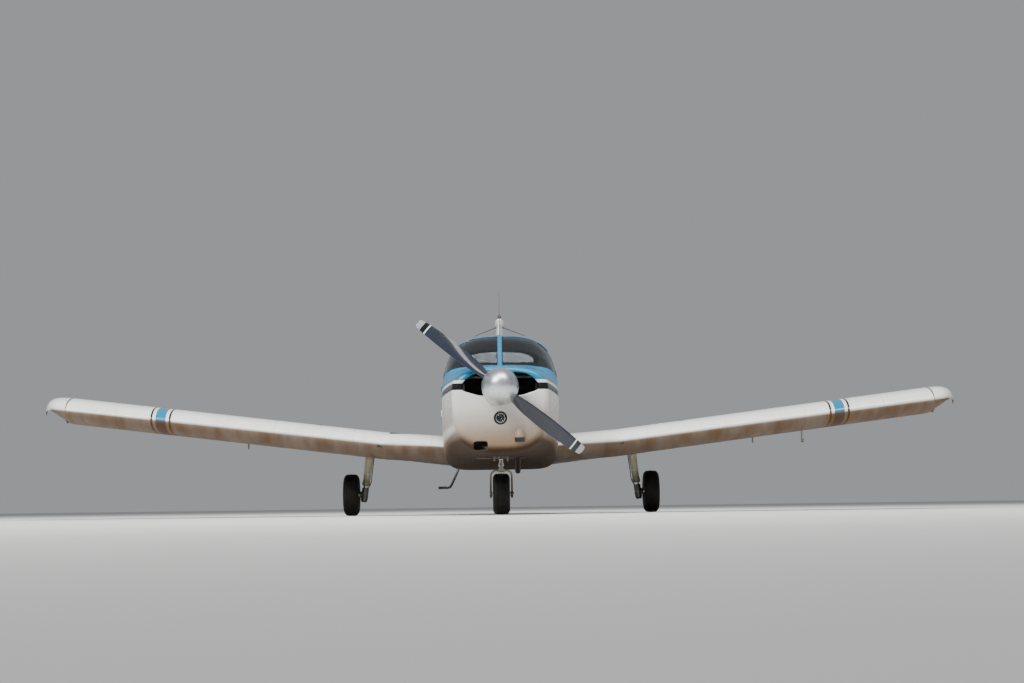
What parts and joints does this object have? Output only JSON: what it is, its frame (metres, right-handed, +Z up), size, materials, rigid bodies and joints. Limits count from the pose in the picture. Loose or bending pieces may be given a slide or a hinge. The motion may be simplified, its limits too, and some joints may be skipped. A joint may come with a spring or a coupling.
{
  "type": "light aircraft",
  "caption": "Low-wing piston light aircraft with a fixed nose-wheel gear, two-blade propeller, glazed cabin with seats, hinged door and moving control surfaces.",
  "frame": {"origin": "middle of the bounding box on the ground plane, under the wings", "axes": "+Z up, the nose points along -Y, +X towards the aircraft's left wing tip"},
  "size_m": [9.1446, 7.1695, 2.3463],
  "materials": {
    "white_paint": "gloss",
    "blue_paint": "gloss",
    "moulded_tip": "gloss",
    "blade_paint": "satin",
    "polished_alloy": "polished",
    "gear_steel": "satin",
    "bare_steel": "satin",
    "engine_metal": "matte",
    "tyre_rubber": "matte",
    "clear_window": "gloss",
    "red_lens": "gloss",
    "cabin_trim": "matte",
    "seat_cover": "matte",
    "black_fitting": "matte"
  },
  "bodies": {
    "airframe": {"cabin_shell": "blue_paint", "cabin_floor": "cabin_trim", "rear_bulkhead": "cabin_trim", "firewall": "bare_steel", "cowl_upper": "blue_paint", "cowl_lower": "white_paint", "landing_light": "clear_window", "engine_block": "engine_metal", "exhaust_pipe": "bare_steel", "windshield_left": "clear_window", "windshield_right": "clear_window", "front_window_left": "clear_window", "rear_window_left": "clear_window", "rear_window_right": "clear_window", "instrument_panel": "cabin_trim", "front_seat_left": "seat_cover", "front_seat_right": "seat_cover", "front_seat_frame_left": "black_fitting", "front_seat_frame_right": "black_fitting", "rear_seat": "seat_cover", "rear_seat_box": "cabin_trim", "tail_cone": "white_paint", "fin": "white_paint", "fin_cap": "moulded_tip", "beacon": "red_lens", "wing_left": "white_paint", "wing_right": "white_paint", "wing_tip_left": "moulded_tip", "wing_tip_right": "moulded_tip", "main_leg_left": "gear_steel", "main_leg_right": "gear_steel", "nose_leg": "gear_steel", "boarding_step": "black_fitting", "pitot_mast": "white_paint", "whip_antenna": "black_fitting", "whisker_antenna_left": "black_fitting", "whisker_antenna_right": "black_fitting"},
    "propeller": {"spinner": "polished_alloy", "propeller": "blade_paint"},
    "door": {"cabin_door": "blue_paint", "door_window_right": "clear_window"},
    "rudder": {"rudder": "white_paint"},
    "stabilator": {"stabilator": "white_paint"},
    "aileron_left": {"aileron_left": "white_paint"},
    "aileron_right": {"aileron_right": "white_paint"},
    "flap_left": {"flap_left": "white_paint"},
    "flap_right": {"flap_right": "white_paint"},
    "nose_fork": {"nose_fork": "gear_steel"},
    "nose_wheel": {"nose_wheel": "polished_alloy", "nose_tyre": "tyre_rubber"},
    "main_wheel_left": {"main_wheel_left": "polished_alloy", "main_tyre_left": "tyre_rubber"},
    "main_wheel_right": {"main_wheel_right": "polished_alloy", "main_tyre_right": "tyre_rubber"}
  },
  "joints": [
    {"name": "propeller_spin", "type": "hinge", "parent": "airframe", "child": "propeller", "pos_m": [0, -3.295, 1.149], "axis": [0, -0.9993, 0.0384], "continuous": true},
    {"name": "door_hinge", "type": "hinge", "parent": "airframe", "child": "door", "pos_m": [-0.573, -1.577, 1.11], "axis": [0, 0, 1], "range_deg": [0, 75]},
    {"name": "rudder_hinge", "type": "hinge", "parent": "airframe", "child": "rudder", "pos_m": [0, 2.83924, 0.8], "axis": [0, 0.1423, 0.9898], "range_deg": [-27, 27]},
    {"name": "stabilator_pivot", "type": "hinge", "parent": "airframe", "child": "stabilator", "pos_m": [0, 2.72, 0.845], "axis": [1, 0, 0], "range_deg": [-2, 18]},
    {"name": "aileron_hinge_left", "type": "hinge", "parent": "airframe", "child": "aileron_left", "pos_m": [2.345, -0.09601, 0.78815], "axis": [0.9916, 0.0004, 0.1293], "range_deg": [-22.5, 22.5]},
    {"name": "aileron_hinge_right", "type": "hinge", "parent": "airframe", "child": "aileron_right", "pos_m": [-2.345, -0.09601, 0.78815], "axis": [0.9916, -0.0004, -0.1293], "range_deg": [-22.5, 22.5]},
    {"name": "flap_hinge_left", "type": "hinge", "parent": "airframe", "child": "flap_left", "pos_m": [0.65, -0.13759, 0.57311], "axis": [-0.9917, -0.001, -0.1283], "range_deg": [0, 40]},
    {"name": "flap_hinge_right", "type": "hinge", "parent": "airframe", "child": "flap_right", "pos_m": [-0.65, -0.13759, 0.57311], "axis": [-0.9917, 0.001, 0.1283], "range_deg": [0, 40]},
    {"name": "nose_steering", "type": "hinge", "parent": "airframe", "child": "nose_fork", "pos_m": [0, -2.57, 0.192], "axis": [0, 0.1045, 0.9945], "range_deg": [-30, 30]},
    {"name": "nose_wheel_spin", "type": "hinge", "parent": "nose_fork", "child": "nose_wheel", "pos_m": [0, -2.57, 0.192], "axis": [1, 0, 0], "continuous": true},
    {"name": "main_wheel_spin_left", "type": "hinge", "parent": "airframe", "child": "main_wheel_left", "pos_m": [1.525, -0.63, 0.212], "axis": [1, 0, 0], "continuous": true},
    {"name": "main_wheel_spin_right", "type": "hinge", "parent": "airframe", "child": "main_wheel_right", "pos_m": [-1.525, -0.63, 0.212], "axis": [1, 0, 0], "continuous": true}
  ],
  "couplings": [
    {"joint": "aileron_hinge_right", "follows": "aileron_hinge_left", "ratio": -1},
    {"joint": "flap_hinge_right", "follows": "flap_hinge_left", "ratio": 1},
    {"joint": "rudder_hinge", "follows": "nose_steering", "ratio": -0.9}
  ]
}
